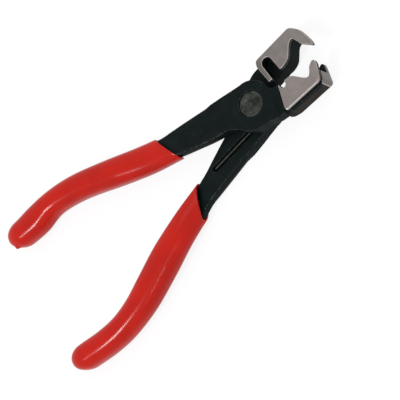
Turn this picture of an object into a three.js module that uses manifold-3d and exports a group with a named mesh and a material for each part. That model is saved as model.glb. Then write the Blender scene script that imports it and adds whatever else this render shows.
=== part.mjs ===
// Hose clamp pliers with a lap joint, a riveted pivot, a return spring and dipped grips.
// Millimetres, +Z up. The tool lies flat: +Y runs from the handles to the jaws, and the
// pivot axis is the Z axis, with z = 0 on the rear face that the tool rests on.
// The front lever carries the left-hand handle and the right-hand jaw, and lies on top.
import * as THREE from 'three';
import { mergeVertices } from 'three/addons/utils/BufferGeometryUtils.js';
import Module from 'manifold-3d';

const wasm = await Module();
wasm.setup();

// Whole tool
const jointThickness = 12.6;
const middle = jointThickness / 2;
const seam = 0.3;

// Joint
const discRadius = 10.5;
const heelStep = 1.5;
const heelEndAngle = THREE.MathUtils.degToRad(-62);
const discEndAngle = THREE.MathUtils.degToRad(88);
const shoulderClearance = 1.1;
const jawRise = 0.5;

// Rivet
const shankRadius = 4;
const headRadius = 5.6;
const headThickness = 1.6;
const headDome = 0.35;
const headChamfer = 0.4;

// Return spring
const wireRadius = 0.7;
const coilRadius = 5.4;
const coilPitch = 1.9;
const fullTurns = 1;
const legLength = 33.7;
const legLean = THREE.MathUtils.degToRad(4.4);
const curlSteps = 8;
const wireSides = 5;
const coilClearance = 0.6;
const grooveBackRoom = 0.3;
const grooveFrontRoom = 1.3;
const grooveEndRoom = 0.6;

// Jaws
const jawThickness = 10.4;
const jawReach = 15.5;
const jawHeight = 26.5;
const plateThickness = 1.9;
const notchRadius = 1.5;
const notchLip = 0.5;
const slotRadius = 2.5;
const slotDepth = 3;
const prongThickness = 2.4;
const prongSlotReach = 9;
const prongSlotDepth = 5.6;
const rampRun = 3.1;

// Handles
const handleLength = 140.5;
const handleSpread = 36.5;
const armThickness = 6;
const armSquareness = 6;
const armSides = 16;
const armRows = 24;

// Grips
const gripWidth = 15;
const gripThickness = jointThickness;
const mouthThickness = 8.8;
const gripSquareness = 2.5;
const gripSides = 20;
const gripRows = 36;
const gripEndRound = 8.5;
const gripEndBlunt = 0.26;
const mouthSlope = 0.43;
const mouthFadeShare = 0.3;

// Facets and cutting
const curveSegments = 8;
const roundSegments = 48;
const cutOverrun = 1;
const hairlineShare = 1e-6;

// Places that follow from the sizes above
const heelRadius = discRadius + heelStep;
const shoulderRadius = discRadius + shoulderClearance;
const jawFoot = discRadius + jawRise;
const lapFront = middle + seam / 2;
const lapRear = middle - seam / 2;
const lapOffset = (lapFront + jointThickness) / 2 - middle;
const jawRear = middle - jawThickness / 2;
const jawFront = middle + jawThickness / 2;
const bodyFront = jawFront - plateThickness - seam;
const recessRadius = coilRadius + wireRadius + coilClearance;
const sweptTurns = fullTurns + 0.5 - legLean / Math.PI;
const coilRise = coilPitch * sweptTurns;
const recessDepth = coilRise / 2 + wireRadius + seam;

// Jaw outlines: [share of jawReach from the centre line, share of jawHeight above jawFoot]
const frontFootShares = [[0.795, 0.002], [0.852, 0.008], [0.873, 0.04]];
const frontShoulderShares = [[0.873, 0.7], [0.842, 0.745], [0.775, 0.772]];
const frontFingerShares = [[0.413, 0.858], [0.316, 0.863]];
const frontTipShares = [[0.258, 0.836], [0.274, 0.789], [0.348, 0.726], [0.477, 0.675],
  [0.548, 0.619], [0.477, 0.551]];
const frontInnerShares = [[0.219, 0.426], [0.142, 0.366]];
const frontEdgeShare = 0.129;
const frontNotchShare = [0.194, 0.196];
const frontBodyHeelShares = [[0.135, 0], [0.6, -0.14], [0.8, -0.102], [0.865, -0.045], [0.913, 0.075]];
const frontBodyShoulderShares = [[0.913, 0.735], [0.9, 0.775], [0.845, 0.8]];
const backFootShares = [[0.761, 0], [0.155, 0.034], [0.148, 0.109]];
const backSlotShare = [0.645, 0.185];
const backLipShare = [0.216, 0.305];
const backInnerShares = [[0.213, 0.36], [0.245, 0.442], [0.31, 0.517], [0.426, 0.577],
  [0.555, 0.634], [0.639, 0.683], [0.677, 0.736]];
const backThroatShares = [[0.619, 0.774], [0.49, 0.804], [0.374, 0.826]];
const backBeakShares = [[0.1, 0.972], [0.09, 0.996]];
const backCrownShares = [[0.232, 1], [0.361, 0.99], [0.555, 0.966], [0.703, 0.942],
  [0.832, 0.894], [0.961, 0.826], [1, 0.777]];
const backOuterShare = [0.935, 0.083];
const backCornerShares = [[0.897, 0.034], [0.761, 0]];
const backBodyEndShares = [[0.66, 0.81], [0.84, 0.79], [0.985, 0.765]];

// Joint plate edges: [share of discRadius from the centre line, share of discRadius along the tool]
const neckShares = [[1.171, 0.229], [1.248, 0.4], [1.305, 0.571], [1.333, 0.762], [1.352, 0.98]];
const armOuterShares = [[-1.076, -0.429], [-1.171, -0.914], [-1.262, -1.457], [-1.276, -1.905]];
const frontArmInnerShares = [[0.238, -1.39], [0.1, -1.714], [0.02, -1.905]];
const backArmInnerShares = [[0.238, -1.39], [0.09, -1.714], [-0.03, -1.905]];

// Handle stations: [share of handleLength down, centre as a share of handleSpread,
// half width as a share of gripWidth]
const frontArmShares = [[0.1, 0.144, 0.523], [0.142, 0.177, 0.515], [0.185, 0.216, 0.494],
  [0.228, 0.261, 0.459], [0.27, 0.309, 0.422], [0.313, 0.363, 0.38], [0.356, 0.433, 0.345],
  [0.498, 0.627, 0.307], [0.64, 0.845, 0.28], [0.783, 0.967, 0.26], [0.911, 0.948, 0.24]];
const backArmShares = [[0.1, 0.141, 0.517], [0.142, 0.177, 0.502], [0.185, 0.225, 0.46],
  [0.228, 0.276, 0.41], [0.27, 0.334, 0.357], [0.313, 0.386, 0.335], [0.356, 0.466, 0.335],
  [0.498, 0.641, 0.307], [0.64, 0.855, 0.28], [0.783, 1, 0.26], [0.911, 0.975, 0.24]];
const frontGripShares = [[0.318, 0.38, 0.5], [0.427, 0.523, 0.497], [0.534, 0.684, 0.487],
  [0.64, 0.845, 0.453], [0.712, 0.926, 0.423], [0.783, 0.967, 0.407], [0.854, 0.949, 0.467],
  [0.925, 0.947, 0.433], [0.988, 0.97, 0.4]];
const backGripShares = [[0.329, 0.43, 0.463], [0.427, 0.549, 0.48], [0.534, 0.693, 0.523],
  [0.64, 0.855, 0.507], [0.712, 0.948, 0.45], [0.783, 1, 0.42], [0.854, 1.001, 0.417],
  [0.925, 0.971, 0.42], [1, 0.935, 0.4]];
const joggleShares = [0.2, 0.45];

// A solid from a closed three.js geometry
function solid(geometry) {
  const bare = geometry.index ? geometry.toNonIndexed() : geometry.clone();
  bare.deleteAttribute('normal');
  bare.deleteAttribute('uv');
  const merged = mergeVertices(bare);
  const vertProperties = new Float32Array(merged.attributes.position.array);
  const triVerts = new Uint32Array(merged.index.array);
  return new wasm.Manifold(new wasm.Mesh({ numProp: 3, vertProperties, triVerts }));
}

// A three.js geometry from a solid
function geometryOf(body) {
  const { vertProperties, triVerts, numProp } = body.getMesh();
  const positions = new Float32Array(triVerts.length * 3);
  triVerts.forEach((vertex, corner) => {
    for (let axis = 0; axis < 3; axis += 1) {
      positions[corner * 3 + axis] = vertProperties[vertex * numProp + axis];
    }
  });
  const geometry = new THREE.BufferGeometry();
  geometry.setAttribute('position', new THREE.BufferAttribute(positions, 3));
  geometry.computeVertexNormals();
  return geometry;
}

// A flat outline raised from one height to another
function slab(shape, low, high) {
  const options = { depth: high - low, bevelEnabled: false, curveSegments };
  return solid(new THREE.ExtrudeGeometry(shape, options).translate(0, 0, low));
}

// A round bar along the pivot axis
function bar(radius, low, high) {
  const round = new THREE.CylinderGeometry(radius, radius, high - low, roundSegments);
  return solid(round.rotateX(Math.PI / 2).translate(0, 0, (low + high) / 2));
}

// Points of a jaw outline, on the side of the tool that the jaw is on
function jawPoints(side, rows) {
  return rows.map(([across, along]) => (
    new THREE.Vector2(side * across * jawReach, jawFoot + along * jawHeight)
  ));
}

// Straight runs to each point in turn
function runTo(shape, points) {
  points.forEach((point) => shape.lineTo(point.x, point.y));
}

// The relief notch in the right-hand jaw's inner edge, and the straight lips beside it
function reliefNotch() {
  const [centre] = jawPoints(1, [frontNotchShare]);
  const edge = frontEdgeShare * jawReach;
  const low = centre.y - notchRadius;
  const high = centre.y + notchRadius;
  return {
    centre,
    lowLip: [new THREE.Vector2(edge, low), new THREE.Vector2(edge, low - notchLip)],
    highLip: [new THREE.Vector2(edge, high + notchLip), new THREE.Vector2(edge, high)],
  };
}

// The right-hand jaw above its foot: a blunt finger, a rounded throat and the relief notch
function frontJawOutline(footRows, shoulderRows) {
  const { centre, lowLip, highLip } = reliefNotch();
  const [lowEdge, start] = lowLip;
  const shape = new THREE.Shape();
  shape.moveTo(start.x, start.y);
  runTo(shape, jawPoints(1, [...footRows, ...shoulderRows, ...frontFingerShares]));
  shape.splineThru(jawPoints(1, frontTipShares));
  runTo(shape, [...jawPoints(1, frontInnerShares), ...highLip]);
  shape.lineTo(centre.x, centre.y + notchRadius);
  shape.absarc(centre.x, centre.y, notchRadius, Math.PI / 2, -Math.PI / 2, true);
  shape.lineTo(lowEdge.x, lowEdge.y);
  return shape;
}

// The left-hand jaw's face: a thin beak, a slot, and a leg under the slot
function backPlateOutline() {
  const shape = new THREE.Shape();
  const [corner, legEnd, legTop] = jawPoints(-1, backFootShares);
  const [slot, lip, outer] = jawPoints(-1, [backSlotShare, backLipShare, backOuterShare]);
  shape.moveTo(corner.x, corner.y);
  runTo(shape, [legEnd, legTop, new THREE.Vector2(slot.x, slot.y - slotRadius)]);
  shape.absarc(slot.x, slot.y, slotRadius, -Math.PI / 2, Math.PI / 2, true);
  runTo(shape, [lip]);
  shape.splineThru(jawPoints(-1, backInnerShares));
  shape.splineThru(jawPoints(-1, backThroatShares));
  runTo(shape, jawPoints(-1, backBeakShares));
  shape.splineThru(jawPoints(-1, backCrownShares));
  runTo(shape, [outer]);
  shape.splineThru(jawPoints(-1, backCornerShares));
  return shape;
}

// The left-hand jaw's body, which stops at its end face, short of the plate's beak
function backBodyOutline() {
  const shape = new THREE.Shape();
  const [corner, legEnd] = jawPoints(-1, backFootShares);
  const [lip, outer] = jawPoints(-1, [backLipShare, backOuterShare]);
  shape.moveTo(corner.x, corner.y);
  runTo(shape, [legEnd, lip]);
  shape.splineThru(jawPoints(-1, backInnerShares));
  runTo(shape, jawPoints(-1, backBodyEndShares));
  runTo(shape, [outer]);
  shape.splineThru(jawPoints(-1, backCornerShares));
  return shape;
}

// The half of a lever that laps over the other: disc, heel, neck and the root of the arm
function jointOutline(side, neckTop, armInnerShares) {
  const shape = new THREE.Shape();
  const place = ([across, along]) => new THREE.Vector2(side * across * discRadius, along * discRadius);
  const around = (angle) => (side > 0 ? angle : Math.PI - angle);
  const discEnd = new THREE.Vector2(side * Math.cos(discEndAngle), Math.sin(discEndAngle));
  shape.moveTo(discEnd.x * discRadius, discEnd.y * discRadius);
  shape.absarc(0, 0, discRadius, around(discEndAngle), around(Math.PI), side < 0);
  runTo(shape, armOuterShares.map(place));
  runTo(shape, armInnerShares.map(place).reverse());
  shape.absarc(0, 0, heelRadius, around(heelEndAngle), around(0), side < 0);
  runTo(shape, neckShares.map(place));
  runTo(shape, neckTop);
  return shape;
}

// A round-cornered bar through stations, as a bent and tapered cylinder
function sleeve(rows, { side, sides, steps, squareness, reach, thickness, height, slope }) {
  const line = new THREE.CatmullRomCurve3(rows.map(([along, centre, half]) => (
    new THREE.Vector3(-along * handleLength, -side * centre * handleSpread, half * gripWidth)
  )));
  const geometry = new THREE.CylinderGeometry(1, 1, 1, sides, steps);
  const position = geometry.attributes.position;
  const rounded = (value) => (
    Math.abs(value) < hairlineShare ? 0 : Math.sign(value) * Math.abs(value) ** (2 / squareness)
  );
  for (let index = 0; index < position.count; index += 1) {
    const share = THREE.MathUtils.clamp(0.5 - position.getY(index), 0, 1);
    const station = line.getPoint(share);
    const size = reach(share, station.x);
    const across = rounded(position.getX(index)) * (station.z + size.grow) * size.taper;
    const up = rounded(position.getZ(index)) * (thickness(share) / 2 + size.grow) * size.taper;
    const slant = side * slope * Math.max(0, 1 - share / mouthFadeShare) * across;
    const heading = line.getTangent(share);
    const drift = slant * (heading.y / heading.x);
    position.setXYZ(index, station.y + across + drift, station.x + slant, height(station.x) + up);
  }
  return solid(geometry);
}

// How far a lever's arm has come from its own half of the joint to the middle plane
function joggleHeight(layer, along) {
  const [start, end] = joggleShares;
  const eased = THREE.MathUtils.smoothstep(-along / handleLength, start, end);
  return middle + layer * lapOffset * (1 - eased);
}

// The arm and the tang inside the grip, or, grown by a clearance, the room for it
function arm(rows, side, layer, grow) {
  return sleeve(rows, {
    side,
    sides: armSides,
    steps: armRows,
    squareness: armSquareness,
    reach: () => ({ grow, taper: 1 }),
    thickness: () => armThickness,
    height: (along) => joggleHeight(layer, along),
    slope: 0,
  });
}

// The recess for the coil and the round-ended groove for a leg, cut into a lever's lap face
function springPocket(side, low, high) {
  const inner = coilRadius - wireRadius - grooveBackRoom;
  const outer = coilRadius + wireRadius + grooveFrontRoom;
  const radius = (outer - inner) / 2;
  const foot = new THREE.Vector2(side * (inner + radius), radius - legLength - grooveEndRoom);
  const shape = new THREE.Shape();
  shape.moveTo(side * inner, 0);
  shape.lineTo(side * inner, foot.y);
  shape.absarc(foot.x, foot.y, radius, side > 0 ? Math.PI : 0, side > 0 ? 0 : Math.PI, side < 0);
  shape.lineTo(side * outer, 0);
  const lean = THREE.MathUtils.radToDeg(side * legLean);
  return bar(recessRadius, low, high).add(slab(shape, low, high).rotate([0, 0, lean]));
}

// The slope from the front of the joint down to the bright face of the right-hand jaw
function faceRamp([outer, inner]) {
  const foot = new THREE.Vector2().subVectors(outer, inner);
  const size = jawReach * 2;
  const block = new THREE.BoxGeometry(size, size, size).translate(0, 0, size / 2);
  block.rotateX(-Math.atan2(jointThickness - jawFront, rampRun)).rotateZ(foot.angle());
  return solid(block.translate(inner.x, inner.y, jawFront));
}

// The lever with the left-hand handle and the right-hand jaw, on top
function makeFrontLever() {
  const [, inner] = reliefNotch().lowLip;
  const [outer] = jawPoints(1, frontFootShares);
  const neckTop = [outer, inner].map((point) => new THREE.Vector2(point.x, point.y - seam));
  const jointPlate = slab(jointOutline(1, neckTop, frontArmInnerShares), lapFront, jointThickness)
    .subtract(faceRamp(neckTop));
  const jawOutline = frontJawOutline(frontBodyHeelShares, frontBodyShoulderShares);
  const jaw = slab(jawOutline, jawRear, bodyFront)
    .subtract(bar(shoulderRadius, jawRear - cutOverrun, lapFront));
  const slotLow = jawRear + prongThickness;
  const [fingerTop] = jawPoints(1, frontFingerShares);
  const slot = new THREE.BoxGeometry(prongSlotReach, prongSlotDepth * 2, bodyFront - slotLow + cutOverrun);
  slot.translate(prongSlotReach / 2, fingerTop.y, (bodyFront + slotLow + cutOverrun) / 2);
  return jointPlate
    .add(jaw.subtract(solid(slot)))
    .add(arm(frontArmShares, 1, 1, 0))
    .subtract(springPocket(-1, lapFront - cutOverrun, middle + recessDepth))
    .subtract(bar(shankRadius + seam, lapFront - cutOverrun, jointThickness + cutOverrun))
    .subtract(bar(headRadius + seam, jointThickness - headThickness - seam, jointThickness + cutOverrun));
}

// The lever with the right-hand handle and the left-hand jaw, which the tool rests on
function makeBackLever() {
  const [corner, legEnd, legTop] = jawPoints(-1, backFootShares);
  const [slot, lip] = jawPoints(-1, [backSlotShare, backLipShare]);
  const neckTop = [corner, legEnd];
  const jointPlate = slab(jointOutline(-1, neckTop, backArmInnerShares), 0, lapRear);
  const jaw = slab(backBodyOutline(), jawRear, bodyFront);
  const groove = new THREE.Shape();
  groove.moveTo(lip.x + slotRadius * 2, legTop.y);
  groove.lineTo(slot.x, slot.y - slotRadius);
  groove.absarc(slot.x, slot.y, slotRadius, -Math.PI / 2, Math.PI / 2, true);
  groove.lineTo(lip.x + slotRadius * 2, lip.y);
  return jointPlate
    .add(jaw)
    .add(arm(backArmShares, -1, -1, 0))
    .subtract(slab(groove, bodyFront - slotDepth, bodyFront + cutOverrun))
    .subtract(springPocket(1, middle - recessDepth, lapRear + cutOverrun))
    .subtract(bar(shankRadius + seam, -cutOverrun, lapRear + cutOverrun))
    .subtract(bar(headRadius + seam, -cutOverrun, headThickness + seam));
}

// The rivet, with a low dome in front and a flat tail that the tool rests on
function makeRivet() {
  const domeStart = jointThickness - headDome;
  const domeRadius = (headRadius ** 2 + headDome ** 2) / (2 * headDome);
  const profile = [
    new THREE.Vector2(0, 0),
    new THREE.Vector2(headRadius - headChamfer, 0),
    new THREE.Vector2(headRadius, headChamfer),
    new THREE.Vector2(headRadius, headThickness),
    new THREE.Vector2(shankRadius, headThickness),
    new THREE.Vector2(shankRadius, jointThickness - headThickness),
    new THREE.Vector2(headRadius, jointThickness - headThickness),
  ];
  for (let step = curveSegments; step >= 0; step -= 1) {
    const radius = headRadius * (step / curveSegments);
    const drop = domeRadius - Math.sqrt(domeRadius ** 2 - radius ** 2);
    profile.push(new THREE.Vector2(radius, domeStart + headDome - drop));
  }
  return solid(new THREE.LatheGeometry(profile, roundSegments).rotateX(Math.PI / 2));
}

// The wire of the return spring: up one leg, round the shank and down the other leg
class SpringPath extends THREE.Curve {
  getPoint(share, target = new THREE.Vector3()) {
    const sweep = sweptTurns * Math.PI * 2;
    const coilLength = sweep * coilRadius;
    const travel = share * (legLength * 2 + coilLength) - legLength;
    const turn = THREE.MathUtils.clamp(travel / coilRadius, 0, sweep);
    const angle = Math.PI - legLean - turn;
    const past = travel < 0 ? travel : Math.max(0, travel - coilLength);
    const height = middle + coilRise * (0.5 - turn / sweep);
    return target.set(
      coilRadius * Math.cos(angle) + past * Math.sin(angle),
      coilRadius * Math.sin(angle) - past * Math.cos(angle),
      height,
    );
  }
}

// The return spring, one unbroken round wire
function makeSpring() {
  const path = new SpringPath();
  const section = new THREE.Shape().absarc(0, 0, wireRadius, 0, Math.PI * 2, false);
  const ring = new THREE.Shape(section.getSpacedPoints(wireSides).slice(0, wireSides));
  const curlLength = 2 * Math.PI * coilRadius;
  const wireLength = curlLength * sweptTurns + legLength * 2;
  const steps = Math.round((wireLength / curlLength) * curlSteps);
  printLeastGap(path, steps, wireLength);
  return solid(new THREE.ExtrudeGeometry(ring, { steps, extrudePath: path, bevelEnabled: false }));
}

// Measures how near the wire comes to itself, from points along it
function printLeastGap(path, steps, wireLength) {
  const points = path.getSpacedPoints(steps * curlSteps);
  const step = wireLength / (points.length - 1);
  const apart = Math.ceil((coilRadius * Math.PI) / step);
  let least = Infinity;
  points.forEach((point, index) => {
    points.slice(index + apart).forEach((other) => {
      least = Math.min(least, point.distanceTo(other) - wireRadius * 2);
    });
  });
  console.log(`least gap of the spring wire to itself: ${least.toFixed(2)} mm`);
}

// A dipped grip: a rounded sleeve with a slanted mouth, hollowed for the arm and tang
function makeGrip(gripRowsOfShares, armRowsOfShares, side, layer) {
  const outer = sleeve(gripRowsOfShares, {
    side,
    sides: gripSides,
    steps: gripRows,
    squareness: gripSquareness,
    reach: (share, along) => {
      const end = gripRowsOfShares[gripRowsOfShares.length - 1][0] * handleLength;
      const left = THREE.MathUtils.clamp((end + along + gripEndBlunt) / gripEndRound, 0, 1);
      return { grow: 0, taper: Math.sqrt(1 - (1 - left) ** 2) };
    },
    thickness: (share) => {
      const full = Math.min(1, share / mouthFadeShare);
      return THREE.MathUtils.lerp(mouthThickness, gripThickness, full);
    },
    height: (along) => joggleHeight(layer, along),
    slope: mouthSlope,
  });
  return outer.subtract(arm(armRowsOfShares, side, layer, seam));
}

const finishes = {
  blackened: { color: 0x1d201f, roughness: 0.55, metalness: 0.6 },
  ground: { color: 0x8b8580, roughness: 0.35, metalness: 0.9 },
  rivet: { color: 0x343733, roughness: 0.45, metalness: 0.8 },
  wire: { color: 0x2a2c2d, roughness: 0.4, metalness: 0.9 },
  dipped: { color: 0xc02620, roughness: 0.3, metalness: 0 },
};

function piece(name, body, finish) {
  const mesh = new THREE.Mesh(geometryOf(body), new THREE.MeshStandardMaterial(finishes[finish]));
  mesh.name = name;
  return mesh;
}

const pliers = new THREE.Group();
pliers.name = 'hose_clamp_pliers';

const backHalf = new THREE.Group();
const backPlate = slab(backPlateOutline(), jawFront - plateThickness, jawFront);
backHalf.add(piece('back_lever', makeBackLever(), 'blackened'));
backHalf.add(piece('back_jaw_plate', backPlate, 'ground'));
backHalf.add(piece('pivot_rivet', makeRivet(), 'rivet'));
backHalf.add(piece('return_spring', makeSpring(), 'wire'));
backHalf.add(piece('back_grip', makeGrip(backGripShares, backArmShares, -1, -1), 'dipped'));
pliers.add(backHalf);

const frontHalf = new THREE.Group();
const frontFace = frontJawOutline(frontFootShares, frontShoulderShares);
const frontPlate = slab(frontFace, jawFront - plateThickness, jawFront);
frontHalf.add(piece('front_lever', makeFrontLever(), 'blackened'));
frontHalf.add(piece('front_jaw_plate', frontPlate, 'ground'));
frontHalf.add(piece('front_grip', makeGrip(frontGripShares, frontArmShares, 1, 1), 'dipped'));
pliers.add(frontHalf);

export default pliers;
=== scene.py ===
import bmesh
import bpy
import math
from mathutils import Matrix, Vector, noise
from mathutils.geometry import tessellate_polygon


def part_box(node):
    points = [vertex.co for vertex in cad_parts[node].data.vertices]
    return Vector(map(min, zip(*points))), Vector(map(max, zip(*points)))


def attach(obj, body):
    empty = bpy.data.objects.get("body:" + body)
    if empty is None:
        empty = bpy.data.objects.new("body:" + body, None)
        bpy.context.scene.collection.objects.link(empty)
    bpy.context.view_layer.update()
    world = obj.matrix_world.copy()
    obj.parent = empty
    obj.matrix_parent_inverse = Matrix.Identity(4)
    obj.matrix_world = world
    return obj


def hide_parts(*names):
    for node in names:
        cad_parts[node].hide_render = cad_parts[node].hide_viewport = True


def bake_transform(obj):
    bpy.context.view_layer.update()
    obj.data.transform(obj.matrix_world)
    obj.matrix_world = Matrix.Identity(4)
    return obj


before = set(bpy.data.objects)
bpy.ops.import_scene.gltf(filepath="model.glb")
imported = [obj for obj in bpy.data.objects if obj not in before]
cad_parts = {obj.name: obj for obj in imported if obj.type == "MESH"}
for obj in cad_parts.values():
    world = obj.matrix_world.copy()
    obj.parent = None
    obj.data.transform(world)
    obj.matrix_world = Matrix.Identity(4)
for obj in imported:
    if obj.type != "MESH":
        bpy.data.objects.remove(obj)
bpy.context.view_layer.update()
mm = 0.001
print("frame loaded:", len(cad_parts), "nodes")

# the camera stands where the photograph was taken from
view = {
    "back": (0.4353, 0.3459, 0.8312),    # from the tool to the camera
    "right": (0.4772, 0.6943, -0.5388),  # the picture's right-hand side
    "distance": 0.706,                   # metres, from the rivet's head
    "aside": -0.02162,                   # the rivet isn't in the picture's middle
    "upward": -0.04115,
    "lens": 148.7,                       # millimetres, as is the sensor
    "sensor": 36,
    "nearest": 0.01,
}


def makeCamera(s):
    back = Vector(s["back"]).normalized()
    right = Vector(s["right"]).normalized()
    up = back.cross(right)
    lens = bpy.data.cameras.new("camera")
    lens.sensor_width = s["sensor"]
    lens.lens = s["lens"]
    lens.clip_start = s["nearest"]
    camera = bpy.data.objects.new("camera", lens)
    bpy.context.collection.objects.link(camera)
    pivotTop = Vector((0, 0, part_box("pivot_rivet")[1].z))
    place = pivotTop + s["distance"] * back + s["aside"] * right + s["upward"] * up
    turn = Matrix((right, up, back)).transposed().to_4x4()
    camera.matrix_world = Matrix.Translation(place) @ turn
    bpy.context.scene.camera = camera


makeCamera(view)
bpy.context.scene.view_settings.view_transform = "Standard"
print("camera set")


class Wire:
    # one socket of a material's nodes, so that shader maths reads as an expression
    def __init__(self, tree, socket):
        self.tree = tree
        self.socket = socket

    def __add__(self, other):
        return self.tree.maths("ADD", self, other)

    def __radd__(self, other):
        return self.tree.maths("ADD", other, self)

    def __sub__(self, other):
        return self.tree.maths("SUBTRACT", self, other)

    def __rsub__(self, other):
        return self.tree.maths("SUBTRACT", other, self)

    def __mul__(self, other):
        return self.tree.maths("MULTIPLY", self, other)

    def __rmul__(self, other):
        return self.tree.maths("MULTIPLY", other, self)


class Tree:
    # the nodes of one material or world: each of them comes from the method node
    def __init__(self, owner):
        owner.use_nodes = True
        self.nodes = owner.node_tree.nodes
        self.links = owner.node_tree.links
        self.nodes.clear()

    def node(self, kind, settings=None, inputs=None, output=0):
        made = self.nodes.new(kind)
        for name, value in (settings or {}).items():
            setattr(made, name, value)
        for name, value in (inputs or {}).items():
            if isinstance(value, Wire):
                self.links.new(value.socket, made.inputs[name])
            else:
                made.inputs[name].default_value = value
        return Wire(self, made.outputs[output] if made.outputs else None)

    def maths(self, operation, *values, clamp=False):
        settings = {"operation": operation, "use_clamp": clamp}
        return self.node("ShaderNodeMath", settings, dict(enumerate(values)))

    def larger(self, first, second):
        return self.maths("MAXIMUM", first, second)

    # millimetres on the piece itself, stretched by a scale for each axis
    def place(self, scale):
        where = self.node("ShaderNodeTexCoord", output="Object")
        size = tuple(part / mm for part in scale)
        return self.node("ShaderNodeVectorMath", {"operation": "MULTIPLY"}, {0: where, 1: size})

    def grain(self, scale, detail, roughness=0.5, stretch=(1, 1, 1)):
        inputs = {
            "Vector": self.place(stretch),
            "Scale": scale,
            "Detail": detail,
            "Roughness": roughness,
        }
        return self.node("ShaderNodeTexNoise", {"noise_dimensions": "3D"}, inputs)

    def step(self, value, low, high):
        inputs = {"Value": value, "From Min": low, "From Max": high}
        return self.node("ShaderNodeMapRange", {"interpolation_type": "SMOOTHSTEP"}, inputs)

    # a grain that is nothing under the first of two levels and full over the second
    def spots(self, between, **texture):
        return self.step(self.grain(**texture), *between)

    # a Mix node's sockets 6 and 7 and its output 2 are the ones for colours
    def mixColor(self, share, first, second):
        inputs = {0: share, 6: first, 7: second}
        return self.node("ShaderNodeMix", {"data_type": "RGBA"}, inputs, output=2)

    # what mark() has written on the points of a mesh
    def painted(self, name):
        return self.node("ShaderNodeAttribute", {"attribute_name": name}, output="Fac")

    def bumps(self, height, distance):
        return self.node("ShaderNodeBump", None, {"Height": height, "Distance": distance})


def color(red, green, blue):
    return (red, green, blue, 1)


def makeFinish(name, paint, s):
    material = bpy.data.materials.new(name)
    tree = Tree(material)
    shader = tree.node("ShaderNodeBsdfPrincipled", None, paint(tree, s))
    tree.node("ShaderNodeOutputMaterial", None, {"Surface": shader})
    return material


# a pale floor, a plain bright room, two soft lamps and a thin one
studio = {
    "floorSize": 6,
    "floorCuts": 2,
    "floorColor": color(0.93, 0.93, 0.93),
    "shadowShare": 0.13,       # how much of the floor's own shading the camera sees
    "white": color(1, 1, 1),
    "whiteLevel": 1.0,         # of the floor and the room where they are seen or mirrored
    "roomLevel": 0.72,         # of the room's light on the tool
}
lamps = {
    "keyLamp": {
        "place": (0.228, -0.487, 0.86),
        "aim": (0, -0.05, 0.006),
        "size": (0.15, 0.215),
        "power": 3.9,
    },
    "fillLamp": {
        "place": (-0.5, 0.3, 0.9),
        "aim": (0, -0.05, 0.006),
        "size": (0.9, 0.9),
        "power": 2.2,
    },
    "stripLamp": {             # its mirror image is the faint line along one grip
        "place": (0.47, -0.10, 0.84),
        "aim": (0.052, -0.05, 0.006),
        "size": (0.024, 0.34),
        "power": 0.36,
    },
}


def seenDirectly(tree):
    seen = tree.node("ShaderNodeLightPath", output="Is Camera Ray")
    glossy = tree.node("ShaderNodeLightPath", output="Is Glossy Ray")
    through = tree.node("ShaderNodeLightPath", output="Is Transmission Ray")
    return seen, tree.maths("ADD", glossy, through, clamp=True)


def makeFloor(s):
    cuts = s["floorCuts"]
    bpy.ops.mesh.primitive_grid_add(size=s["floorSize"], x_subdivisions=cuts, y_subdivisions=cuts)
    floor = bpy.context.object
    floor.name = "floor"
    material = bpy.data.materials.new("paleFloor")
    tree = Tree(material)
    seen, mirrored = seenDirectly(tree)
    white = {"Color": s["white"], "Strength": s["whiteLevel"]}
    matt = tree.node("ShaderNodeBsdfDiffuse", None, {"Color": s["floorColor"]})
    glow = tree.node("ShaderNodeEmission", None, white)
    share = tree.larger(seen * (1 - s["shadowShare"]), mirrored)
    surface = tree.node("ShaderNodeMixShader", None, {0: share, 1: matt, 2: glow})
    tree.node("ShaderNodeOutputMaterial", None, {"Surface": surface})
    floor.data.materials.append(material)


def makeRoom(s):
    world = bpy.data.worlds.new("studio")
    bpy.context.scene.world = world
    tree = Tree(world)
    seen, mirrored = seenDirectly(tree)
    share = tree.larger(seen, mirrored)
    soft = {"Color": s["white"], "Strength": s["roomLevel"]}
    white = {"Color": s["white"], "Strength": s["whiteLevel"]}
    light = tree.node("ShaderNodeBackground", None, soft)
    shown = tree.node("ShaderNodeBackground", None, white)
    sky = tree.node("ShaderNodeMixShader", None, {0: share, 1: light, 2: shown})
    tree.node("ShaderNodeOutputWorld", None, {"Surface": sky})


def addLamp(name, s):
    lamp = bpy.data.lights.new(name, "AREA")
    lamp.shape = "RECTANGLE"
    lamp.size, lamp.size_y = s["size"]
    lamp.energy = s["power"]
    holder = bpy.data.objects.new(name, lamp)
    holder.location = s["place"]
    way = Vector(s["aim"]) - holder.location
    holder.rotation_euler = way.to_track_quat("-Z", "Y").to_euler()
    bpy.context.collection.objects.link(holder)


makeFloor(studio)
makeRoom(studio)
for name, settings in lamps.items():
    addLamp(name, settings)
print("floor, room and lamps set:", len(lamps), "lamps")

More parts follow.
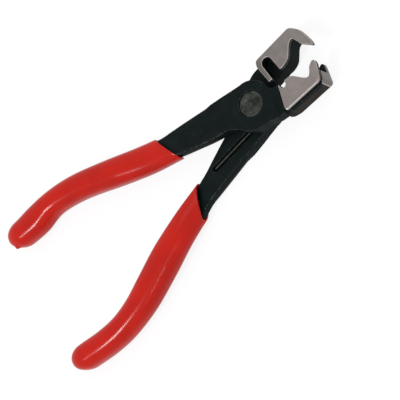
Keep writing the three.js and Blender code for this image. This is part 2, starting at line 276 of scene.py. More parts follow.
# forged steel under semi-matt black, rubbed at the edges and ground bare at one jaw's end, with a
# painted highlight where the grinding ends and painted shade under one plate
blackSteel = {
    "base": color(0.0024, 0.0050, 0.0053),
    "lighter": color(0.0042, 0.0076, 0.0079),
    "worn": color(0.17, 0.166, 0.155),
    "bared": color(0.030, 0.023, 0.018),
    "ground": color(0.168, 0.160, 0.152),
    # the painted highlight along the rounded edge where the grinding ends
    "lip": color(0.62, 0.60, 0.57),
    "specular": 0.06,
    "patches": {"scale": 0.16, "detail": 4, "between": (0.35, 0.68)},
    "speckles": {"scale": 0.7, "detail": 4, "roughness": 0.75, "between": (0.51, 0.60)},
    "flecks": {"scale": 1.0, "detail": 2, "between": (0.68, 0.75)},
    "lines": {"scale": 2.2, "detail": 2, "stretch": (0.25, 4, 4)},
    "skin": {"scale": 1.6, "detail": 5, "roughness": 0.6},
    "swell": {"scale": 0.18, "detail": 1},
    "wearShare": 0.42,
    "leastWear": 0.12,         # on an edge, between the speckles
    "fleckWear": 0.2,          # away from the edges
    "leastBared": 0.5,         # on the rubbed wall, between the patches
    "wornMetal": 0.8,
    "groundMetal": 0.9,
    "rough": 0.5,
    "skinRough": 0.16,
    "groundSmooth": 0.22,
    "lineRough": 0.12,
    "bumpDepth": 0.10 * mm,
    "skinShare": 0.2,          # fine skin against the slow swell, in the bump's height
}


def paintBlackSteel(tree, s):
    patches = tree.spots(**s["patches"])
    speckles = tree.spots(**s["speckles"])
    flecks = tree.spots(**s["flecks"])
    onEdge = tree.painted("edge") * (speckles * (1 - s["leastWear"]) + s["leastWear"])
    wear = tree.larger(onEdge, flecks * s["fleckWear"]) * s["wearShare"]
    # brownish where the wall is rubbed, and black under the plate, which is painted shade
    onWall = tree.painted("bared") * (patches * (1 - s["leastBared"]) + s["leastBared"])
    ground = tree.painted("ground")
    lines = tree.grain(**s["lines"])
    skin = tree.grain(**s["skin"])
    swell = tree.grain(**s["swell"])
    black = tree.mixColor(patches, s["base"], s["lighter"])
    brown = tree.mixColor(onWall, black, s["bared"])
    worn = tree.mixColor(wear, brown, s["worn"])
    # the ground colour, with the painted highlight of that edge
    bright = tree.mixColor(tree.painted("lip"), s["ground"], s["lip"])
    grinding = lines * ground * s["lineRough"]
    return {
        "Base Color": tree.mixColor(ground, worn, bright),
        "Metallic": tree.larger(wear * s["wornMetal"], ground * s["groundMetal"]),
        "Roughness": s["rough"] + skin * s["skinRough"] - ground * s["groundSmooth"] + grinding,
        "Specular IOR Level": s["specular"],
        "Normal": tree.bumps(swell + skin * s["skinShare"], s["bumpDepth"]),
    }


# ground steel with a painted highlight along its rims, and black walls
groundSteel = {
    "face": color(0.230, 0.200, 0.190),
    "faceDark": color(0.182, 0.163, 0.155),
    # the painted highlight along the plates' rounded bevels
    "rimHighlight": color(0.36, 0.34, 0.32),
    "dulled": color(0.112, 0.107, 0.099),
    "wall": color(0.0045, 0.0055, 0.0055),
    "specular": 0.3,
    "brushing": {"scale": 1.1, "detail": 5, "roughness": 0.7, "stretch": (6, 0.35, 1)},
    "clouds": {"scale": 0.22, "detail": 3, "between": (0.3, 0.7)},
    "marks": {
        "scale": 0.9,
        "detail": 4,
        "roughness": 0.7,
        "stretch": (0.3, 2.4, 1),
        "between": (0.6, 0.72),
    },
    "cloudShare": 0.7,         # the rest of the face's pattern is brushing
    "markShare": 0.35,
    "rough": 0.34,
    "brushRough": 0.14,
    "wallRough": 0.15,
    "brushDepth": 0.006 * mm,
}


def paintGroundSteel(tree, s):
    brushing = tree.grain(**s["brushing"])
    clouds = tree.spots(**s["clouds"])
    marks = tree.spots(**s["marks"])
    pattern = clouds * s["cloudShare"] + brushing * (1 - s["cloudShare"])
    face = tree.mixColor(pattern, s["faceDark"], s["face"])
    scored = tree.mixColor(marks * s["markShare"], face, s["faceDark"])
    duller = tree.mixColor(tree.painted("dull"), scored, s["dulled"])
    # the painted highlight along the bevels
    rimHighlighted = tree.mixColor(tree.painted("rimHighlight"), duller, s["rimHighlight"])
    wall = tree.painted("wall")
    return {
        "Base Color": tree.mixColor(wall, rimHighlighted, s["wall"]),
        "Metallic": 1 - wall,
        "Roughness": s["rough"] + brushing * s["brushRough"] + wall * s["wallRough"],
        "Specular IOR Level": s["specular"],
        "Normal": tree.bumps(brushing, s["brushDepth"]),
    }


# dark hammered steel, smudged and scratched
rivetSteel = {
    "base": color(0.003, 0.005, 0.003),
    "smudge": color(0.032, 0.036, 0.030),
    "scratch": color(0.30, 0.30, 0.27),
    "specular": 0.18,
    "smudges": {"scale": 0.17, "detail": 6, "roughness": 0.7, "between": (0.40, 0.60)},
    "scratches": {
        "scale": 0.5,
        "detail": 6,
        "roughness": 0.85,
        "stretch": (1, 0.6, 1),
        "between": (0.585, 0.66),
    },
    "dents": {"scale": 0.9, "detail": 4},
    "scratchShare": 0.7,
    "edgeShare": 0.12,
    "metal": 0.2,
    "scratchMetal": 0.5,
    "rough": 0.42,
    "smudgeRough": 0.14,
    "dentDepth": 0.03 * mm,
}


def paintRivet(tree, s):
    smudges = tree.spots(**s["smudges"])
    scratches = tree.spots(**s["scratches"])
    dark = tree.mixColor(smudges, s["base"], s["smudge"])
    bright = scratches * s["scratchShare"] + tree.painted("edge") * s["edgeShare"]
    return {
        "Base Color": tree.mixColor(bright, dark, s["scratch"]),
        "Metallic": s["metal"] + scratches * s["scratchMetal"],
        "Roughness": s["rough"] + smudges * s["smudgeRough"],
        "Specular IOR Level": s["specular"],
        "Normal": tree.bumps(tree.grain(**s["dents"]), s["dentDepth"]),
    }


# dark wire with the streaks of its drawing
springSteel = {
    "base": color(0.016, 0.018, 0.016),
    "streak": color(0.05, 0.05, 0.045),
    "specular": 0.3,
    "metal": 0.7,
    "streaks": {"scale": 1.5, "detail": 4, "stretch": (3, 0.3, 3)},
    "streakLevels": (0.45, 0.7),
    "rough": 0.32,
    "streakRough": 0.15,
    "streakDepth": 0.01 * mm,
}


def paintSpring(tree, s):
    streaks = tree.grain(**s["streaks"])
    shown = tree.step(streaks, *s["streakLevels"])
    return {
        "Base Color": tree.mixColor(shown, s["base"], s["streak"]),
        "Metallic": s["metal"],
        "Roughness": s["rough"] + streaks * s["streakRough"],
        "Specular IOR Level": s["specular"],
        "Normal": tree.bumps(streaks, s["streakDepth"]),
    }


# glossy dipped vinyl, with slow sags and a trace of pebbling
redVinyl = {
    "base": color(0.452, 0.0072, 0.0012),
    "deeper": color(0.398, 0.0056, 0.001),
    "specular": 0.18,
    "clouds": {"scale": 0.07, "detail": 2, "between": (0.3, 0.7)},
    "pebbles": {"scale": 1.2, "detail": 2},
    "sags": {"scale": 0.11, "detail": 1, "stretch": (1, 0.4, 1)},
    "rough": 0.15,
    "pebbleRough": 0.04,
    "bumpDepth": 0.012 * mm,
    "pebbleShare": 0.04,       # pebbles against sags, in the bump's height
}


def paintVinyl(tree, s):
    clouds = tree.spots(**s["clouds"])
    pebbles = tree.grain(**s["pebbles"])
    sags = tree.grain(**s["sags"])
    return {
        "Base Color": tree.mixColor(clouds, s["base"], s["deeper"]),
        "Roughness": s["rough"] + pebbles * s["pebbleRough"],
        "Specular IOR Level": s["specular"],
        "Normal": tree.bumps(sags + pebbles * s["pebbleShare"], s["bumpDepth"]),
    }


finishes = {
    "blackened_steel": makeFinish("blackenedSteel", paintBlackSteel, blackSteel),
    "ground_steel": makeFinish("groundSteel", paintGroundSteel, groundSteel),
    "rivet_steel": makeFinish("rivetSteel", paintRivet, rivetSteel),
    "spring_wire": makeFinish("springWire", paintSpring, springSteel),
    "dipped_vinyl": makeFinish("dippedVinyl", paintVinyl, redVinyl),
}
print("finishes made:", len(finishes))

# two points nearer than this are taken as one, and two heights as the same
weldGap = 0.001 * mm
levelGap = 0.01 * mm


def newPiece(name, mesh, slotName):
    piece = bpy.data.objects.new(name, mesh)
    bpy.context.collection.objects.link(piece)
    mesh.materials.clear()
    mesh.materials.append(finishes[slotName])
    for face in mesh.polygons:
        face.use_smooth = True
    return piece


def meshOf(name, points, faces):
    mesh = bpy.data.meshes.new(name)
    mesh.from_pydata(points, [], faces)
    work = bmesh.new()
    work.from_mesh(mesh)
    bmesh.ops.recalc_face_normals(work, faces=work.faces)
    work.to_mesh(mesh)
    work.free()
    return mesh


# writes a level on each point of a mesh, for the finishes to read
def mark(mesh, name, level):
    layer = mesh.attributes.new(name, "FLOAT", "POINT")
    layer.data.foreach_set("value", [level(vertex) for vertex in mesh.vertices])


# 0 up to low and 1 from high on, with a smooth rise between them
def ease(value, low, high):
    share = min(1, max(0, (value - low) / (high - low)))
    return share * share * (3 - 2 * share)


# 1 on a line, falling off within a width on both sides
def nearTo(distance, width):
    off = distance / width
    return math.exp(-off * off)


# the faces between rings that lie behind each other, all with the same count of points
def ringWalls(ringCount, count):
    faces = []
    for row in range(ringCount - 1):
        for side in range(count):
            other = (side + 1) % count
            first, second = row * count, (row + 1) * count
            faces.append((first + side, first + other, second + other, second + side))
    return faces


# a closed skin over rings: their walls and a face at each end
def joinRings(rings):
    count = len(rings[0])
    last = (len(rings) - 1) * count
    points = [point for ring in rings for point in ring]
    faces = ringWalls(len(rings), count)
    faces.append(tuple(range(count)))
    faces.append(tuple(last + side for side in range(count)))
    return points, faces


# levers, forged from their solids
levers = {
    "back_lever": {
        "body": "back_half",
        "parting": 3.1 * mm,                   # height of the parting line
        "armFaces": (6.075 * mm, 0.075 * mm),  # heights of the arm's front and rear face
        "endGround": False,
    },
    "front_lever": {
        "body": "front_half",
        "parting": 9.5 * mm,
        "armFaces": (12.525 * mm, 6.5 * mm),
        "endGround": True,
    },
}
forging = {
    "voxel": 0.27 * mm,
    "softenTimes": 7,
    "softenShare": 0.5,
    "ridgeHeight": 0.10 * mm,        # the trimmed parting line round the sides
    "ridgeWidth": 0.45 * mm,
    "ridgeRun": (2 * mm, 8 * mm),    # below the pivot, where the ridge rises
    "settleRun": (7 * mm, 17 * mm),  # below the pivot, where the joint's faces run down
    "sideFade": 3,                   # the skin's unevenness keeps to the sides
    "skinScale": 9 * mm,
    "unevenness": 0.05 * mm,
    "rubbedFrom": (0.42, 0.62),      # how flat an edge faces where it is rubbed
    "rubbedTo": (0.78, 0.92),
}

# the right-hand jaw's end is ground bright, and the grinding swoops round its outer corner
jawEnd = {
    "corner": 31.2 * mm,               # along the jaw, where the swoop starts
    "top": 11.6 * mm,                  # its height there
    "depth": 9.5 * mm,                 # how far down it runs, and how far back
    "reach": 2.3 * mm,
    "straightening": 0.5,
    "swoopBlur": 0.15 * mm,
    "endRun": (30.3 * mm, 30.8 * mm),  # along the jaw, where its end starts
    "wallRun": (13 * mm, 13.5 * mm),   # outwards, where its outer wall starts
    "leverFrom": 3 * mm,               # the lever's end face is bright from here outwards,
    "plateFrom": 8.6 * mm,             # the plate's end from here
    "ledgeFrom": 8.2 * mm,             # and the narrow step in front of the plate from here
    "fade": 1 * mm,                    # over which each of the three starts
    "facesEnd": (0.45, 0.75),          # how squarely a bright surface faces each way
    "facesOut": (0.3, 0.6),
    "facesFront": (0.4, 0.8),
    "lipHighlightWidth": 0.28 * mm,
}

# the outer wall of that jaw is rubbed brownish; right under the plate it is left black, as
# painted shade below the plate
rubbedWallAndShade = {
    "facesOut": (0.5, 0.8),
    "outerRun": (11 * mm, 12 * mm),
    "lengthRun": (11 * mm, 13 * mm),
    # from here up, the wall stays black: painted shade under the plate
    "shadeRun": (6.4 * mm, 7.6 * mm),
    "bottomRun": (1.2 * mm, 2.2 * mm),
}


def forgeLever(node, s, shape):
    rough = bpy.data.objects.new("roughForging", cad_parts[node].data.copy())
    bpy.context.collection.objects.link(rough)
    remesh = rough.modifiers.new("remesh", "REMESH")
    remesh.mode = "VOXEL"
    remesh.voxel_size = s["voxel"]
    soften = rough.modifiers.new("soften", "SMOOTH")
    soften.iterations = s["softenTimes"]
    soften.factor = s["softenShare"]
    softened = rough.evaluated_get(bpy.context.evaluated_depsgraph_get())
    mesh = bpy.data.meshes.new_from_object(softened)
    bpy.data.objects.remove(rough)
    mark(mesh, "edge", rubbedEdge)
    if shape["endGround"]:
        bright = jawEnd["leverFrom"]
        mark(mesh, "ground", lambda vertex: groundShare(vertex.co, vertex.normal, bright))
        # the lip is a painted highlight along the edge where the grinding ends
        mark(mesh, "lip", lambda vertex: lipHighlightShare(vertex.co, vertex.normal))
        # the rubbed wall, kept black under the plate as painted shade
        mark(mesh, "bared", lambda vertex: baredBelowShade(vertex.co, vertex.normal))
    # all new places are worked out before the first point moves
    moved = []
    for vertex in mesh.vertices:
        spot = settled(vertex.co.copy(), s, shape)
        moved.extend(spot + vertex.normal * skinHeight(vertex.co, vertex.normal, s, shape))
    mesh.vertices.foreach_set("co", moved)
    mesh.update()
    return mesh


# the flat faces of the joint run down to the arm's own faces, with no step between them
def settled(spot, s, shape):
    share = ease(-spot.y, *s["settleRun"])
    top, bottom = shape["armFaces"]
    if spot.z > top:
        spot.z += (top - spot.z) * share
    if spot.z < bottom:
        spot.z += (bottom - spot.z) * share
    return spot


# the sides have a ridge along the parting line, and waves that lie under the solid's skin
def skinHeight(spot, normal, s, shape):
    sideways = 1 - min(1, abs(normal.z) * s["sideFade"])
    if sideways <= 0:
        return 0
    ridge = s["ridgeHeight"] * nearTo(spot.z - shape["parting"], s["ridgeWidth"])
    waves = noise.noise(spot / s["skinScale"]) - 1
    return sideways * (ridge * ease(-spot.y, *s["ridgeRun"]) + s["unevenness"] * waves)


# the edges between the flat faces and the sides are rubbed
def rubbedEdge(vertex):
    flat = abs(vertex.normal.z)
    return ease(flat, *forging["rubbedFrom"]) * (1 - ease(flat, *forging["rubbedTo"]))


# how far along the jaw the grinding's edge lies, at a spot's height
def swoopLine(spot):
    s = jawEnd
    down = min(1, max(0, (s["top"] - spot.z) / s["depth"]))
    return s["corner"] - s["reach"] * math.sqrt(down) * (1 - s["straightening"] * down)


def groundShare(spot, facing, brightFrom):
    s = jawEnd
    fade, blur, ledge, line = s["fade"], s["swoopBlur"], s["ledgeFrom"], swoopLine(spot)
    atEnd = ease(spot.y, *s["endRun"])
    pastLine = ease(spot.y, line - blur, line + blur)
    onEnd = ease(facing.y, *s["facesEnd"]) * atEnd * ease(spot.x, brightFrom, brightFrom + fade)
    onWall = ease(facing.x, *s["facesOut"]) * pastLine * ease(spot.x, *s["wallRun"])
    onLedge = ease(facing.z, *s["facesFront"]) * atEnd * ease(spot.x, ledge, ledge + fade)
    return max(onEnd, onWall, onLedge)


# a thin painted highlight where the grinding ends on the wall, along its rounded edge
def lipHighlightShare(spot, facing):
    s = jawEnd
    onWall = ease(facing.x, *s["facesOut"]) * ease(spot.x, *s["wallRun"])
    return onWall * nearTo(spot.y - swoopLine(spot), s["lipHighlightWidth"])


def baredBelowShade(spot, facing):
    s = rubbedWallAndShade
    onWall = ease(facing.x, *s["facesOut"]) * ease(spot.x, *s["outerRun"])
    # black near the top, as painted shade under the plate
    outOfShade = 1 - ease(spot.z, *s["shadeRun"])
    return onWall * ease(spot.y, *s["lengthRun"]) * outOfShade * ease(spot.z, *s["bottomRun"])


for node, shape in levers.items():
    lever = newPiece(node + "_forging", forgeLever(node, forging, shape), "blackened_steel")
    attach(lever, shape["body"])
    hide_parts(node)
    print(node, "forged:", len(lever.data.polygons), "faces")

# jaw plates, each ground to its solid's outline
plates = {
    "back_jaw_plate": {
        "body": "back_half",
        "bevel": 0.22 * mm,
        "outerBevel": 0.22 * mm,
        "dull": 0.28,
        "legDull": 0.95,
        "endGround": False,
    },
    "front_jaw_plate": {
        "body": "front_half",
        "bevel": 0.22 * mm,
        "outerBevel": 0.5 * mm,
        "dull": 0.04,
        "legDull": 0.04,
        "endGround": True,
    },
}
plateWork = {
    "spacing": 0.35 * mm,              # of the points round the outline
    "narrowest": 0.5,                  # keeps a bevel from running far into a sharp corner
    "outerRun": (2.2 * mm, 0.6 * mm),  # from the outer side, where its wider bevel comes in
    "legRun": (11 * mm, 16 * mm),      # along the jaw, where the dull leg ends
    # the rims' brightness is a painted highlight
    "bareHighlightCut": 0.6,                    # how much of the rim's brightness a ground end takes away
    "bevelSteps": 4,
    "bevelHighlight": 1.0,
    "innerHighlight": 0.35,
    # each row: depth below the front in bevels, inset in bevels, painted rim highlight, black
    # wall
    "wallRows": [(None, 0, 0.0, 1.0), (2.2, 0, 0.0, 1.0), (1.6, 0, 0.4, 0.2)],
    "faceRow": (0, 1.35, 0.0, 0.0),
}


# the outline of a plate's front face, in order
def frontLoop(mesh):
    work = bmesh.new()
    work.from_mesh(mesh)
    bmesh.ops.remove_doubles(work, verts=work.verts, dist=weldGap)
    top = max(vertex.co.z for vertex in work.verts)
    onTop = [
        face for face in work.faces
        if all(abs(vertex.co.z - top) < levelGap for vertex in face.verts)
    ]
    chain = {}
    for face in onTop:
        for loop in face.loops:
            if not all(other in onTop for other in loop.edge.link_faces):
                chain[loop.vert.index] = loop.link_loop_next.vert.index
    places = {vertex.index: vertex.co.copy() for vertex in work.verts}
    work.free()
    start = next(iter(chain))
    order, here = [start], chain[start]
    while here != start:
        order.append(here)
        here = chain[here]
    return [places[index] for index in order]


# the same outline with more points, at even distances
def spaced(loop, spacing):
    points = []
    for first, second in zip(loop, loop[1:] + loop[:1]):
        count = max(1, round((second - first).length / spacing))
        points += [first.lerp(second, step / count) for step in range(count)]
    return points


# the way inwards at a point of the outline, longer where a corner needs it
def inwardAt(loop, index):
    before, here, after = loop[index - 1], loop[index], loop[(index + 1) % len(loop)]
    first = (here - before).normalized()
    second = (after - here).normalized()
    lean = Vector((-first.y - second.y, first.x + second.x, 0))
    lean.normalize()
    spread = max(plateWork["narrowest"], lean.dot(Vector((-first.y, first.x, 0))))
    return lean / spread


# one plate is duller than the other, and its leg is the dullest part
def dullness(spot, s):
    onLeg = 1 - ease(spot.y, *plateWork["legRun"])
    return s["dull"] + (s["legDull"] - s["dull"]) * onLeg


# rows from the rear face, up the wall and over the rounded bevel, to the front
def bevelRows():
    w = plateWork
    rows = list(w["wallRows"])
    steps = w["bevelSteps"]
    for step in range(steps + 1):
        angle = math.pi / 2 * step / steps
        rimHighlight = w["bevelHighlight"] if step < steps else w["innerHighlight"]
        rows.append((1 - math.sin(angle), 1 - math.cos(angle), rimHighlight, 0.0))
    rows.append(w["faceRow"])
    return rows


def grindPlate(node, s):
    low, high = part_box(node)
    loop = spaced(frontLoop(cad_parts[node].data), plateWork["spacing"])
    count = len(loop)
    inward = [inwardAt(loop, index) for index in range(count)]
    start, full = (high.x - side for side in plateWork["outerRun"])
    wider = s["outerBevel"] - s["bevel"]
    bevels = [s["bevel"] + ease(point.x, start, full) * wider for point in loop]
    points, rimHighlights, walls = [], [], []
    rows = bevelRows()
    for drop, inset, rimHighlight, wall in rows:
        for point, lean, bevel in zip(loop, inward, bevels):
            spot = point + lean * bevel * inset
            spot.z = low.z if drop is None else high.z - drop * bevel
            bare = groundShare(spot, -lean, jawEnd["plateFrom"]) if s["endGround"] else 0.0
            points.append(tuple(spot))
            rimHighlights.append(rimHighlight * (1 - plateWork["bareHighlightCut"] * bare))
            walls.append(wall * (1 - bare))
    last = (len(rows) - 1) * count
    flat = [Vector((x, y, 0)) for x, y, _ in points]
    front, rear = tessellate_polygon([flat[last:]]), tessellate_polygon([flat[:count]])
    faces = ringWalls(len(rows), count)
    faces += [tuple(last + corner for corner in three) for three in front]
    faces += [tuple(reversed(three)) for three in rear]
    mesh = meshOf(node + "Ground", points, faces)
    # the painted highlight along the bevel, and the black wall
    mark(mesh, "rimHighlight", lambda vertex: rimHighlights[vertex.index])
    mark(mesh, "wall", lambda vertex: walls[vertex.index])
    mark(mesh, "dull", lambda vertex: dullness(vertex.co, s))
    return mesh


for node, settings in plates.items():
    plate = newPiece(node + "_ground", grindPlate(node, settings), "ground_steel")
    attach(plate, settings["body"])
    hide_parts(node)
    print(node, "ground:", len(plate.data.polygons), "faces")

# rivet, turned round its axis and peened
rivet = {
    "sides": 96,
    "shank": 4 * mm,
    "head": 5.6 * mm,
    "headThickness": 1.6 * mm,
    "tailMiddle": 0.02 * mm,               # the flat tail's first ring, and its second
    "tailShare": 0.5,
    "dome": 0.35 * mm,
    "domeSteps": 14,
    "lastStep": 0.5,                       # leaves a small ring at the dome's middle
    "edgeRound": 0.3 * mm,
    "edgeSteps": 4,
    "edgeShare": 0.3,                      # of the rounding: outside it, the edge is fully rubbed
    "dentDepth": 0.035 * mm,
    "dentSize": 1.6 * mm,
    "dentLevel": 0.5,                      # keeps most of the dents under the dome's surface
    "dentFade": 1.4 * mm,
    "centreMark": (0.9 * mm, 0.12 * mm),   # radius and depth
    "centreFlat": 0.3,
}


# radius and height of each ring, from the tail's middle to the head's middle
def rivetProfile(s, top, rimTop):
    head, shank, edge = s["head"], s["shank"], s["edgeRound"]
    cut, thick = edge * s["edgeShare"], s["headThickness"]
    profile = [(s["tailMiddle"], 0), (head * s["tailShare"], 0)]
    profile += [(head - edge, 0), (head - cut, cut), (head, edge)]
    profile += [(head, thick), (shank, thick), (shank, top - thick), (head, top - thick)]
    for step in range(s["edgeSteps"]):
        angle = math.pi / 2 * step / s["edgeSteps"]
        radius = head - edge * (1 - math.cos(angle))
        profile.append((radius, rimTop - edge * (1 - math.sin(angle))))
    for step in range(s["domeSteps"]):
        share = 1 - (step + 1) / (s["domeSteps"] + s["lastStep"])
        profile.append(((head - edge) * share, rimTop + s["dome"] * (1 - share * share)))
    return profile


# the hammer's dents on the head, and the centre mark
def peened(spot, radius, s):
    markRadius, markDepth = s["centreMark"]
    inner = 1 - ease(radius, s["head"] - s["dentFade"], s["head"] - s["edgeRound"])
    dent = noise.noise(spot / s["dentSize"]) - s["dentLevel"]
    spot.z += s["dentDepth"] * dent * inner
    spot.z -= markDepth * (1 - ease(radius, markRadius * s["centreFlat"], markRadius))


def peenRivet(s):
    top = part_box("pivot_rivet")[1].z
    rimTop = top - s["dome"]
    rings = []
    for radius, height in rivetProfile(s, top, rimTop):
        ring = []
        for side in range(s["sides"]):
            angle = 2 * math.pi * side / s["sides"]
            spot = Vector((radius * math.cos(angle), radius * math.sin(angle), height))
            if height > rimTop - levelGap:
                peened(spot, radius, s)
            ring.append(tuple(spot))
        rings.append(ring)
    points, faces = joinRings(rings)
    mesh = meshOf("peenedRivet", points, faces)
    inner, outer = s["head"] - s["edgeRound"], s["head"] - s["edgeRound"] * s["edgeShare"]
    mark(mesh, "edge", lambda vertex: ease(vertex.co.xy.length, inner, outer))
    return mesh


piece = newPiece("pivot_rivet_peened", peenRivet(rivet), "rivet_steel")
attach(piece, "back_half")
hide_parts("pivot_rivet")
print("rivet peened:", len(piece.data.polygons), "faces")

# return spring: one wire, with a leg, a coil round the shank and another leg
spring = {
    "wire": 0.7 * mm,              # radius of the wire
    "coil": 5.4 * mm,              # radius of the coil
    "pitch": 1.9 * mm,
    "turns": 1.5,
    "leg": 33.7 * mm,
    "lean": math.radians(4.4),     # of each leg, away from the tool's middle line
    "middle": 6.3 * mm,
    "sides": 20,
    "legSteps": 60,
    "coilSteps": 110,
    "tipRings": 4,                 # the wire's ends are rounded over these
    "probe": 0.05 * mm,            # how far off the wire's direction is read
}


def coilSweep(s):
    return 2 * math.pi * (s["turns"] - s["lean"] / math.pi)


# a point of the wire's middle line, by its travel from where the coil starts
def springPoint(s, travel):
    sweep = coilSweep(s)
    turn = min(sweep, max(0, travel / s["coil"]))
    angle = math.pi - s["lean"] - turn
    past = travel if travel < 0 else max(0, travel - sweep * s["coil"])
    height = s["middle"] + s["pitch"] * sweep / (2 * math.pi) * (0.5 - turn / sweep)
    return Vector((
        s["coil"] * math.cos(angle) + past * math.sin(angle),
        s["coil"] * math.sin(angle) - past * math.cos(angle),
        height,
    ))


def wireRing(s, travel, radius):
    here = springPoint(s, travel)
    ahead = springPoint(s, travel + s["probe"]) - springPoint(s, travel - s["probe"])
    ahead.normalize()
    sideways = ahead.cross(Vector((0, 0, 1))).normalized()
    upward = sideways.cross(ahead)
    ring = []
    for side in range(s["sides"]):
        angle = 2 * math.pi * side / s["sides"]
        around = sideways * radius * math.cos(angle)
        ring.append(tuple(here + around + upward * radius * math.sin(angle)))
    return ring


def bendSpring(s):
    leg, legSteps, coilSteps = s["leg"], s["legSteps"], s["coilSteps"]
    length = coilSweep(s) * s["coil"]
    stops = [-leg * (1 - step / legSteps) for step in range(legSteps)]
    stops += [length * step / coilSteps for step in range(coilSteps + 1)]
    stops += [length + leg * (step + 1) / legSteps for step in range(legSteps)]
    rings = []
    for index, travel in enumerate(stops):
        fromEnd = min(index, len(stops) - 1 - index)
        tip = min(1, (fromEnd + 1) / (s["tipRings"] + 1))
        rings.append(wireRing(s, travel, s["wire"] * math.sin(math.pi / 2 * tip)))
    points, faces = joinRings(rings)
    return meshOf("bentSpring", points, faces)


piece = newPiece("return_spring_wire", bendSpring(spring), "spring_wire")
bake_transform(piece)
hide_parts("return_spring")
print("spring bent:", len(piece.data.polygons), "faces")

# what both handles share, in the sizes of their solids
handle = {
    "length": 140.5 * mm,          # from the pivot to the grips' ends
    "spread": 36.5 * mm,           # from the middle line to a grip's middle, at the widest
    "width": 15 * mm,
    "thickness": 12.6 * mm,
    "mouthThickness": 8.8 * mm,
    "armThickness": 6 * mm,
    "armSquareness": 6,
    "middle": 6.3 * mm,
    "lapOffset": 3.225 * mm,       # of each arm from the middle, at the joint
    "joggle": (0.2, 0.45),         # shares of the length between which the arms come level
    "tangClearance": 0.3 * mm,
    "tangGap": 0.4 * mm,           # between the tang's end and the hollow's
}
grips = {
    "sides": 112,
    "rows": 190,
    "hollowRows": 60,
    "crowding": 1.35,              # the rows lie closer together towards the end
    "crown": 2.0,                  # how round the top is, and how flat the sides are
    "flank": 2.7,
    "endRound": 8.5 * mm,
    "endBlunt": 0.06 * mm,
    "mouthFade": 0.3,              # share of the grip over which its mouth's form fades
    "hookPower": 4,
    "lipRadius": 0.42 * mm,
    "lipSteps": 6,
    "lipSwell": 0.06 * mm,
    "lipRise": 0.6,                # share of the swell that the lip itself takes
    "lipReach": 2.2 * mm,
    "rimDepth": 1.5 * mm,
    "probe": 0.004,                # share of the length, to read the middle line's slope
}
# the small drip that the dipping leaves at one grip's end
drip = {
    "place": (-30.6 * mm, -136.1 * mm, 8 * mm),
    "way": (0.68, -0.73, 0.05),
    "reach": 1.2 * mm,
}
# rows and arm: share of the length, middle in spreads, half the width in widths
middleColumn = 1
widthColumn = 2
gripShapes = {
    "front_grip": {
        "body": "front_half",
        "side": 1,
        "rows": [
            (0.318, 0.366, 0.458), (0.427, 0.521, 0.492), (0.534, 0.684, 0.487),
            (0.64, 0.845, 0.453), (0.712, 0.926, 0.423), (0.783, 0.967, 0.407),
            (0.854, 0.949, 0.467), (0.925, 0.947, 0.433), (0.988, 0.97, 0.4),
        ],
        "arm": [
            (0.313, 0.363, 0.38), (0.356, 0.433, 0.345), (0.498, 0.627, 0.307),
            (0.64, 0.845, 0.28), (0.783, 0.967, 0.26), (0.911, 0.948, 0.24),
        ],
        "hook": 0.0,
        "mouthSlope": 0.43,
        "drip": 1.0 * mm,
    },
    "back_grip": {
        "body": "back_half",
        "side": -1,
        "rows": [
            (0.327, 0.417, 0.428), (0.427, 0.547, 0.476), (0.534, 0.693, 0.523),
            (0.64, 0.855, 0.507), (0.712, 0.948, 0.45), (0.783, 1, 0.42),
            (0.854, 1.001, 0.417), (0.925, 0.971, 0.42), (1, 0.935, 0.4),
        ],
        "arm": [
            (0.313, 0.386, 0.335), (0.356, 0.466, 0.335), (0.498, 0.641, 0.307),
            (0.64, 0.855, 0.28), (0.783, 1, 0.26), (0.911, 0.975, 0.24),
        ],
        "hook": 2.4 * mm,          # how far the mouth curls down at the outer side
        "mouthSlope": 0.5,
        "drip": 0.0,
    },
}


# a smooth line through one column of the rows, read at a share of the handle's length
def along(rows, share, column):
    last = len(rows) - 1
    place = max(index for index in range(last) if index == 0 or rows[index][0] <= share)

    def slope(index):
        low, high = max(0, index - 1), min(last, index + 1)
        return (rows[high][column] - rows[low][column]) / (rows[high][0] - rows[low][0])

    first, second = rows[place], rows[place + 1]
    span = second[0] - first[0]
    way = (share - first[0]) / span
    if way < 0:
        return first[column] + slope(place) * (share - first[0])
    if way > 1:
        return second[column] + slope(place + 1) * (share - second[0])
    flat, steep = way * way * (3 - 2 * way), way * (1 - way)
    return (
        first[column] * (1 - flat) + second[column] * flat
        + steep * span * (slope(place) * (1 - way) - slope(place + 1) * way)
    )


# a value's power with its sign kept, for sections between an ellipse and a box
def signedPower(value, power):
    nothing = 1e-9
    return math.copysign(abs(value) ** power, value) if abs(value) > nothing else 0.0


# one section of a grip or of its hollow, slanted where the mouth is
def gripRing(shape, rows, share, halfWidth, halfThickness, squareness, slant):
    h, side, probe = handle, shape["side"], grips["probe"]
    middle = -side * along(rows, share, middleColumn) * h["spread"]
    before = along(rows, share - probe, middleColumn)
    after = along(rows, share + probe, middleColumn)
    heading = -side * (after - before) * h["spread"] / (-2 * probe * h["length"])
    height = h["middle"] + side * h["lapOffset"] * (1 - ease(share, *h["joggle"]))
    crown, flank = squareness
    ring = []
    for step in range(grips["sides"]):
        angle = 2 * math.pi * step / grips["sides"]
        across = signedPower(math.cos(angle), 2 / crown) * halfWidth
        up = signedPower(math.sin(angle), 2 / flank) * halfThickness
        outer = max(0, -side * across / halfWidth)
        hook = shape["hook"] * slant * outer ** grips["hookPower"]
        shift = side * slant * across - hook
        place = -share * h["length"] + shift
        ring.append((middle + across + shift * heading, place, height + up))
    return ring


# how far a share of the length lies from the grip's mouth to its end
def wayDown(shape, share):
    mouth, end = shape["rows"][0][0], shape["rows"][-1][0]
    return (share - mouth) / (end - mouth)


def slantAt(shape, share):
    return shape["mouthSlope"] * max(0, 1 - wayDown(shape, share) / grips["mouthFade"])


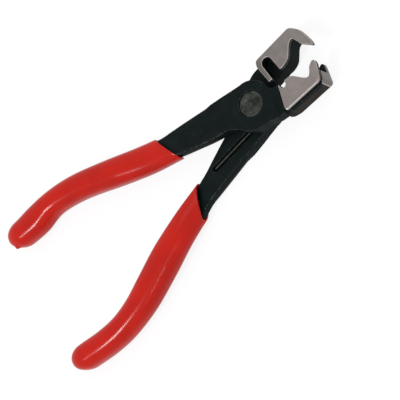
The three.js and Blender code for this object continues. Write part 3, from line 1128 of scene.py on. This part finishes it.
# half the width, half the thickness, and how much the rounded end takes off both
def gripSize(shape, share):
    h, s, rows = handle, grips, shape["rows"]
    full = min(1, wayDown(shape, share) / s["mouthFade"])
    toEnd = (rows[-1][0] - share) * h["length"] + s["endBlunt"]
    left = min(1, max(0, toEnd / s["endRound"]))
    half = along(rows, share, widthColumn) * h["width"]
    thick = (h["mouthThickness"] + (h["thickness"] - h["mouthThickness"]) * full) / 2
    return half, thick, math.sqrt(1 - (1 - left) ** 2)


# a section of the hollow, which fits round the arm
def hollowRing(shape, share, slant):
    h, rows = handle, shape["arm"]
    half = along(rows, share, widthColumn) * h["width"] + h["tangClearance"]
    thick = h["armThickness"] / 2 + h["tangClearance"]
    squareness = (h["armSquareness"], h["armSquareness"])
    return gripRing(shape, rows, share, half, thick, squareness, slant)


def dipGrip(shape):
    h, s, rows = handle, grips, shape["rows"]
    mouth, end = rows[0][0], rows[-1][0]
    squareness = (s["crown"], s["flank"])
    rings = []
    # the hollow, from the tang's end up to the mouth
    tang = shape["arm"][-1][0] + h["tangGap"] / h["length"]
    run = mouth + s["rimDepth"] / h["length"] - tang
    for step in range(s["hollowRows"]):
        share = tang + run * step / (s["hollowRows"] - 1)
        rings.append(hollowRing(shape, share, slantAt(shape, max(share, mouth))))
    # the rim, up from the arm to the rounded lip
    half, thick = gripSize(shape, mouth)[:2]
    slant, lip = slantAt(shape, mouth), s["lipRadius"]
    for step in range(s["lipSteps"] + 1):
        angle = math.pi * step / s["lipSteps"]
        inset = -lip * (1 + math.cos(angle)) + s["lipSwell"] * s["lipRise"]
        share = mouth + (lip - lip * math.sin(angle)) / h["length"]
        ring = gripRing(shape, rows, share, half + inset, thick + inset, squareness, slant)
        rings.append(ring)
    # the outside, down to the rounded end
    first = mouth + lip / h["length"]
    for step in range(1, s["rows"] + 1):
        part = 1 - step / s["rows"]
        share = first + (end - first) * (1 - part ** s["crowding"])
        half, thick, taper = gripSize(shape, share)
        swell = s["lipSwell"] * nearTo((share - mouth) * h["length"], s["lipReach"])
        wide, high = (half + swell) * taper, (thick + swell) * taper
        slant = slantAt(shape, share)
        rings.append(gripRing(shape, rows, share, wide, high, squareness, slant))
    points, faces = joinRings(rings)
    return meshOf("dippedGrip", [dripped(point, shape["drip"]) for point in points], faces)


def dripped(point, size):
    spot = Vector(point)
    near = nearTo((spot - Vector(drip["place"])).length, drip["reach"])
    return tuple(spot + Vector(drip["way"]) * size * near)


for node, shape in gripShapes.items():
    grip = newPiece(node + "_dipped", dipGrip(shape), "dipped_vinyl")
    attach(grip, shape["body"])
    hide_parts(node)
    print(node, "dipped:", len(grip.data.polygons), "faces")
